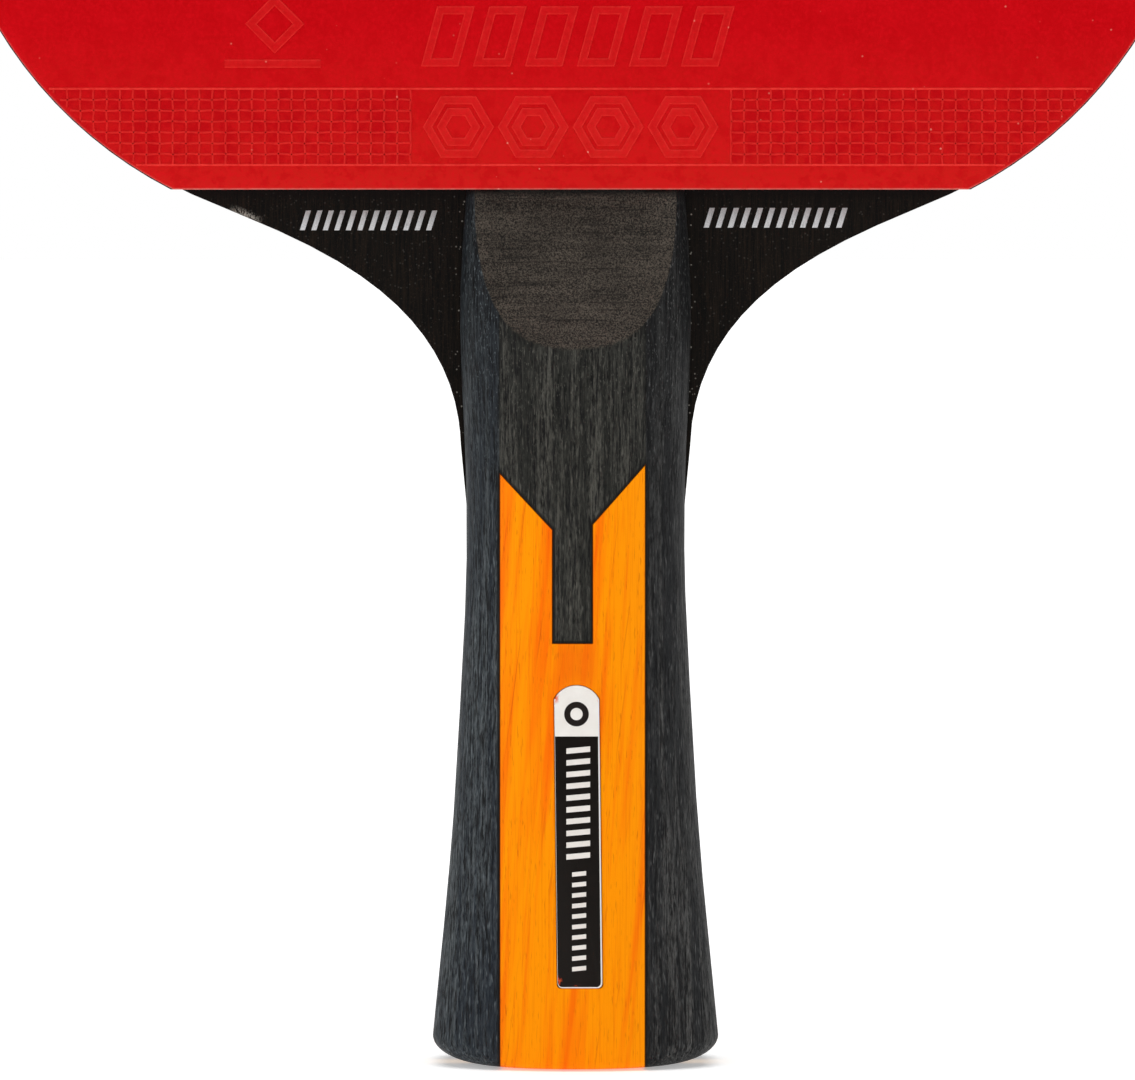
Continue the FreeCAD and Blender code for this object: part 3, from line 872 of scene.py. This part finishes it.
def notch_floor(x):
    """Lower edge of the dark inlay's V at x, outside the stem. The right-hand side sits a little higher."""
    out = x - PANEL_X
    share = (np.abs(out) - STEM_HALF_W) / (PANEL_HALF_W - STEM_HALF_W)
    skew = NOTCH_END_SKEW + (NOTCH_TIP_SKEW - NOTCH_END_SKEW) * share
    return NOTCH_END_Z + (NOTCH_TIP_Z - NOTCH_END_Z) * share + np.sign(out) * skew


def spread(low, high, step):
    """Columns from low to high, close together by both ends."""
    inner = long_rows(low + EDGE_STEPS[-1], high - EDGE_STEPS[-1], step)
    return [low + d for d in EDGE_STEPS[:-1]] + inner + [high - d for d in reversed(EDGE_STEPS[:-1])]


def outline_gap(x, z, outline):
    """Distance in plan from each point to the nearest of an open run of straight edges."""
    gap = np.full(x.shape, 9.0)
    for (x0, z0), (x1, z1) in zip(outline, outline[1:]):
        dx, dz = x1 - x0, z1 - z0
        t = np.clip(((x - x0) * dx + (z - z0) * dz) / (dx * dx + dz * dz), 0, 1)
        gap = np.minimum(gap, np.hypot(x - x0 - t * dx, z - z0 - t * dz))
    return gap


def middle_grid(xs, low, high, shares, outline, reach):
    """Outer surface of an inlay between two curves of z, as (x, y, z, scoop, seam) points."""
    x = np.array(xs)[None, :].repeat(len(shares), axis=0)
    share = np.array(shares)[:, None]
    z = low(x) + (high(x) - low(x)) * share
    y, scoop = scooped(x, dome_height(x, z), z)
    by_orange = outline_gap(x, z, ORANGE_EDGE)
    gap = outline_gap(x, z, outline)
    y = np.maximum(y - np.maximum(eased(gap, TIGHT), eased(by_orange)), 0)
    seam = np.maximum(0.12 * seam_line(gap, reach), seam_line(by_orange, reach)) * (1 - scoop)
    return np.stack([x, y, z, scoop, seam], axis=-1)


def level(z):
    return lambda x: np.full_like(x, z)


def notch_middle(x):
    return NOTCH_END_Z + NOTCH_END_SKEW * (x - PANEL_X) / STEM_HALF_W


def shares_of(length, step, close_low, close_high):
    count = max(int(length / step), 2)
    shares = [k / count for k in range(count + 1)]
    close = [d / length for d in EDGE_STEPS]
    if close_low:
        shares = close + [s for s in shares if s > close[-1]]
    if close_high:
        shares = [s for s in shares if s < 1 - close[-1]] + [1 - s for s in reversed(close)]
    return shares


PANEL_LEFT, PANEL_RIGHT = PANEL_X - PANEL_HALF_W, PANEL_X + PANEL_HALF_W
STEM_LEFT, STEM_RIGHT = PANEL_X - STEM_HALF_W, PANEL_X + STEM_HALF_W
LEFT_XS = spread(PANEL_LEFT, STEM_LEFT, 0.4)
STEM_XS = spread(STEM_LEFT, STEM_RIGHT, 0.4)
RIGHT_XS = spread(STEM_RIGHT, PANEL_RIGHT, 0.4)
Y_EDGE = [(PANEL_LEFT, NOTCH_TIP_Z - NOTCH_TIP_SKEW), (STEM_LEFT, NOTCH_END_Z - NOTCH_END_SKEW),
          (STEM_LEFT, STEM_Z), (STEM_RIGHT, STEM_Z), (STEM_RIGHT, NOTCH_END_Z + NOTCH_END_SKEW),
          (PANEL_RIGHT, NOTCH_TIP_Z + NOTCH_TIP_SKEW)]
INLAY_EDGE = [(PANEL_LEFT, RUBBER_Z)] + Y_EDGE + [(PANEL_RIGHT, RUBBER_Z), (PANEL_LEFT, RUBBER_Z)]
ORANGE_EDGE = [(PANEL_LEFT, -9.0)] + Y_EDGE + [(PANEL_RIGHT, -9.0)]


def inlay_blocks():
    upper = shares_of(RUBBER_Z - NOTCH_TIP_Z, 0.25, True, True)
    stem = shares_of(NOTCH_END_Z - STEM_Z, 0.8, True, False)
    top = level(RUBBER_Z)
    return [
        middle_grid(LEFT_XS, notch_floor, top, upper, INLAY_EDGE, DARK_SEAM),
        middle_grid(STEM_XS, notch_middle, top, upper, INLAY_EDGE, DARK_SEAM),
        middle_grid(RIGHT_XS, notch_floor, top, upper, INLAY_EDGE, DARK_SEAM),
        middle_grid(STEM_XS, level(STEM_Z), notch_middle, stem, INLAY_EDGE, DARK_SEAM),
    ]


def orange_blocks():
    butt = [z / STEM_Z for z in butt_rows()]
    body = [s for s in shares_of(STEM_Z, 0.9, False, True) if s > butt[-1] + 1e-4]
    leg = shares_of(NOTCH_END_Z - STEM_Z, 0.8, True, True)
    blocks = [middle_grid(xs, level(0.0), level(STEM_Z), butt + body, ORANGE_EDGE, ORANGE_SEAM)
              for xs in (LEFT_XS, STEM_XS, RIGHT_XS)]
    blocks += [middle_grid(xs, level(STEM_Z), notch_floor, leg, ORANGE_EDGE, ORANGE_SEAM)
               for xs in (LEFT_XS, RIGHT_XS)]
    return blocks


orange_pieces = {}
for side, word in ((-1, "front"), (1, "back")):
    for sign, hand, stain in ((-1, "left", CHARCOAL_LEFT), (1, "right", CHARCOAL_RIGHT)):
        close_piece(f"grip_{hand}_strip_{word}_shaped", side_strip(sign), side, [stain],
                    f"grip_{hand}_strip_{word}")
    close_piece(f"grip_dark_inlay_{word}_shaped", inlay_blocks(), side, [INLAY],
                f"grip_dark_inlay_{word}")
    orange_pieces[word] = close_piece(f"grip_orange_panel_{word}_shaped", orange_blocks(), side, [ORANGE],
                                      f"grip_orange_panel_{word}")


# ---- badge ---------------------------------------------------------------------------------------
BADGE_TOP_Y = BLADE_HALF_T + DOME_H + 0.04
BADGE_DEPTH = 1.1
BADGE_TILT = 0.0115  # sideways lean for each mm of height


def badge_outline(left, right, low, high, corner, crown):
    """Points round a badge shape, from its lower left: small corners below, an arc of rise crown above."""
    points = []
    for cx, start in ((left + corner, 180), (right - corner, 270)):
        for k in range(7):
            a = math.radians(start + 15 * k)
            points.append((cx + corner * math.cos(a), low + corner + corner * math.sin(a)))
    if crown > 0:
        half = (right - left) / 2
        r = (half * half + crown * crown) / (2 * crown)
        reach = math.asin(half / r)
        for k in range(33):
            a = reach * (1 - k / 16)
            points.append(((left + right) / 2 + r * math.sin(a), high - r + r * math.cos(a)))
    else:
        points += [(right, high), (left, high)]
    middle_z = (BADGE_LOW_Z + BADGE_TOP_Z) / 2
    return [(x + (middle_z - z) * BADGE_TILT, z) for x, z in points]


def plate_into(bm, outline, low_y, high_y, edge):
    """A flat plate over a convex outline, with a chamfer of edge. y is measured towards the front."""
    cx = sum(p[0] for p in outline) / len(outline)
    cz = sum(p[1] for p in outline) / len(outline)
    half_w = max(p[0] for p in outline) - cx
    half_h = max(p[1] for p in outline) - cz
    rings = []
    for inset, y in ((0, low_y), (0, high_y - edge), (edge * 0.3, high_y - edge * 0.3), (edge, high_y)):
        kx, kz = 1 - inset / half_w, 1 - inset / half_h
        rings.append([bm.verts.new(((cx + (x - cx) * kx) * MM, -y * MM, (cz + (z - cz) * kz) * MM))
                      for x, z in outline])
    for low, high in zip(rings, rings[1:]):
        bridge(bm, low, high)
    bm.faces.new(rings[0])
    bm.faces.new(rings[-1])


def plate(name, outlines, low_y, high_y, edge, material):
    bm = bmesh.new()
    for outline in outlines:
        plate_into(bm, outline, low_y, high_y, edge)
    return make_object(name, bm, [material])


def cut_pocket(piece, outline, floor_y):
    """Routes the badge's pocket into a piece."""
    bm = bmesh.new()
    plate_into(bm, outline, floor_y, BADGE_TOP_Y + 2, 0.01)
    bmesh.ops.recalc_face_normals(bm, faces=bm.faces)
    mesh = bpy.data.meshes.new("pocket")
    bm.to_mesh(mesh)
    bm.free()
    cutter = bpy.data.objects.new("pocket", mesh)
    bpy.context.scene.collection.objects.link(cutter)
    modifier = piece.modifiers.new("pocket", "BOOLEAN")
    modifier.operation = "DIFFERENCE"
    modifier.solver = "EXACT"
    modifier.object = cutter
    bpy.context.view_layer.update()
    evaluated = piece.evaluated_get(bpy.context.evaluated_depsgraph_get())
    routed = bpy.data.meshes.new_from_object(evaluated)
    piece.modifiers.clear()
    piece.data = routed
    bpy.data.objects.remove(cutter)


left, right = BADGE_X - BADGE_HALF_W, BADGE_X + BADGE_HALF_W
pocket = badge_outline(left - 0.09, right + 0.09, BADGE_LOW_Z - 0.06, BADGE_TOP_Z + 0.07, 0.5, BADGE_CROWN)
cut_pocket(orange_pieces["front"], pocket, BLADE_HALF_T + DOME_H - BADGE_DEPTH)
whole = badge_outline(left, right, BADGE_LOW_Z, BADGE_TOP_Z, 0.6, BADGE_CROWN)
badge = plate("badge_plate_moulded", [whole], BADGE_TOP_Y - BADGE_DEPTH, BADGE_TOP_Y, 0.06, WHITE_PLASTIC)
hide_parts("badge_plate")
printed = badge_outline(left + 0.04, right - 0.17, BADGE_LOW_Z + 0.14, PRINT_TOP_Z, 0.5, 0)
panel = plate("badge_panel_printed", [printed], BADGE_TOP_Y - 0.05, BADGE_TOP_Y + 0.015, 0.01, BLACK_PLASTIC)
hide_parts("badge_panel")


def tick(x, z, width, height, lean):
    return [(x - width / 2, z - height / 2 - lean), (x + width / 2, z - height / 2 + lean),
            (x + width / 2, z + height / 2 + lean), (x - width / 2, z + height / 2 - lean)]


ticks = [tick(BADGE_X, 36.5 - 1.34 * k, 2.7, 0.62, 0.12) for k in range(10)]
ticks += [tick(BADGE_X + 0.1, 22.4 - 1.2 * k, 1.6, 0.5, 0.08) for k in range(10)]
plate("badge_ticks", ticks, BADGE_TOP_Y - 0.02, BADGE_TOP_Y + 0.03, 0.008, WHITE_PRINT)


def ring_into(bm, x, z, outer, inner, low_y, high_y, sides=40):
    section = ((inner, low_y), (inner, high_y), (outer, high_y), (outer, low_y))
    loops = [circle_into(bm, x, -y, z, r, sides) for r, y in section]
    for a, b in zip(loops, loops[1:] + loops[:1]):
        bridge(bm, a, b)


bm = bmesh.new()
ring_into(bm, BADGE_X - 0.2, 40.6, 1.4, 0.7, BADGE_TOP_Y - 0.02, BADGE_TOP_Y + 0.015)
make_object("badge_ring", bm, [DARK_PRINT])


# ---- prints on the wings -------------------------------------------------------------------------
STROKES = 12  # in each of the two prints, as (name, left end, right end, height)
for name, low_x, high_x, z in (("wing_print_left", -30.9, -15.2, 96.4),
                               ("wing_print_right", 15.1, 31.6, 96.7)):
    step = (high_x - low_x) / STROKES
    bars = [leaning_bar(low_x + step * (k + 0.5), z, step * 0.44, 2.25, 0.7) for k in range(STROKES)]
    plate(name, bars, BLADE_HALF_T - 0.02, BLADE_HALF_T + 0.012, 0.004, SILVER)


# ---- floor, light, camera ------------------------------------------------------------------------
AMBIENT = 0.18
OVERHEAD = 2.5
SIDE_WATTS = 3.0
LOOK_DOWN = 3.28  # degrees

bm = bmesh.new()
bmesh.ops.create_grid(bm, x_segments=4, y_segments=4, size=3.0)
floor_mesh = bpy.data.meshes.new("floor")
bm.to_mesh(floor_mesh)
bm.free()
floor = bpy.data.objects.new("floor", floor_mesh)
floor.location = (0, 0, -0.0002)
bpy.context.scene.collection.objects.link(floor)
floor_mesh.materials.append(FLOOR)

# The surroundings look white, but light the paddle less, as a white sweep does in a dim studio.
world = bpy.data.worlds.new("studio")
bpy.context.scene.world = world
world.use_nodes = True
world_tree = world.node_tree
seen = world_tree.nodes["Background"]
seen.inputs["Color"].default_value = (1, 1, 1, 1)
seen.inputs["Strength"].default_value = 1.0
ambient = world_tree.nodes.new("ShaderNodeBackground")
ambient.inputs["Color"].default_value = (1, 1, 1, 1)
ambient.inputs["Strength"].default_value = AMBIENT
path = world_tree.nodes.new("ShaderNodeLightPath")
either = world_tree.nodes.new("ShaderNodeMixShader")
world_tree.links.new(path.outputs["Is Camera Ray"], either.inputs["Fac"])
world_tree.links.new(ambient.outputs["Background"], either.inputs[1])
world_tree.links.new(seen.outputs["Background"], either.inputs[2])
world_tree.links.new(either.outputs["Shader"], world_tree.nodes["World Output"].inputs["Surface"])


def softbox(name, location, target, size, watts):
    light = bpy.data.lights.new(name, "AREA")
    light.shape = "RECTANGLE"
    light.size, light.size_y = size
    light.energy = watts
    lamp = bpy.data.objects.new(name, light)
    bpy.context.scene.collection.objects.link(lamp)
    lamp.location = location
    lamp.rotation_euler = (Vector(target) - Vector(location)).to_track_quat("-Z", "Y").to_euler()


overhead = bpy.data.lights.new("overhead", "SUN")
overhead.energy = OVERHEAD
overhead.angle = math.radians(70)
overhead_lamp = bpy.data.objects.new("overhead", overhead)
bpy.context.scene.collection.objects.link(overhead_lamp)

softbox("softbox_left", (-0.85, -0.45, 0.30), (0, 0, 0.1), (0.35, 0.9), SIDE_WATTS)
softbox("softbox_right", (0.85, -0.55, 0.30), (0, 0, 0.1), (0.35, 0.9), SIDE_WATTS * 0.7)

camera_data = bpy.data.cameras.new("camera")
camera_data.sensor_width = 36.0
camera_data.lens = 333.0
camera_data.clip_start = 0.01
camera = bpy.data.objects.new("camera", camera_data)
camera.location = (-0.00037, -1.2, 0.1285)
camera.rotation_euler = (math.radians(90 - LOOK_DOWN), 0, 0)
bpy.context.scene.collection.objects.link(camera)
bpy.context.scene.camera = camera
bpy.context.scene.view_settings.view_transform = "Standard"
